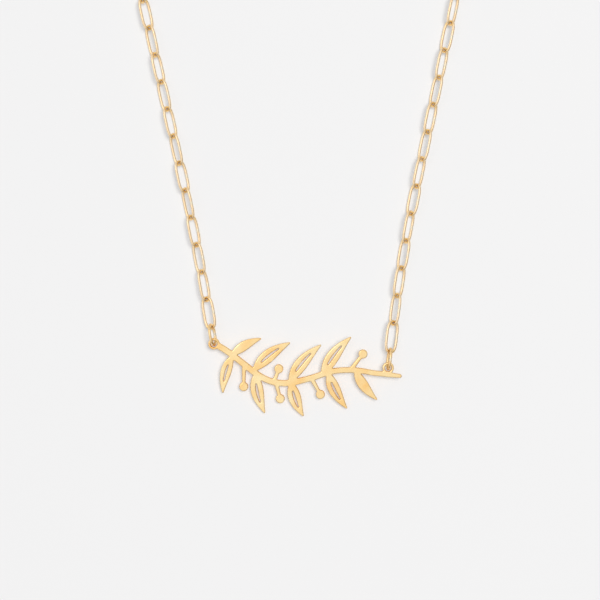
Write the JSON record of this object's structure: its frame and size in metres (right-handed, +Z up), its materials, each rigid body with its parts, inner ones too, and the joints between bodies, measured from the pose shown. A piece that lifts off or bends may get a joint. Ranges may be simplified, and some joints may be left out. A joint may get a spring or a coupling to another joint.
{
  "type": "nameplate necklace",
  "caption": "Flat pierced plate cut as a leafy branch, hung by oval jump rings from a long-link chain that closes in a plain clasp.",
  "frame": {"origin": "middle of the whole necklace, on the surface that it lies on", "axes": "+Z up from the surface, +Y from the plate towards the clasp, +X towards the side whose eyelet is lower"},
  "size_m": [0.0885, 0.1956, 0.0029],
  "materials": {
    "plate_gold": "gold plated, polished",
    "chain_gold": "gold plated, bright"
  },
  "bodies": {
    "root": {"nameplate": "plate_gold", "jump_ring_left": "chain_gold", "jump_ring_right": "chain_gold", "chain_left": "chain_gold", "chain_right": "chain_gold", "clasp_ring": "chain_gold", "clasp": "chain_gold", "end_ring": "chain_gold"}
  },
  "joints": []
}
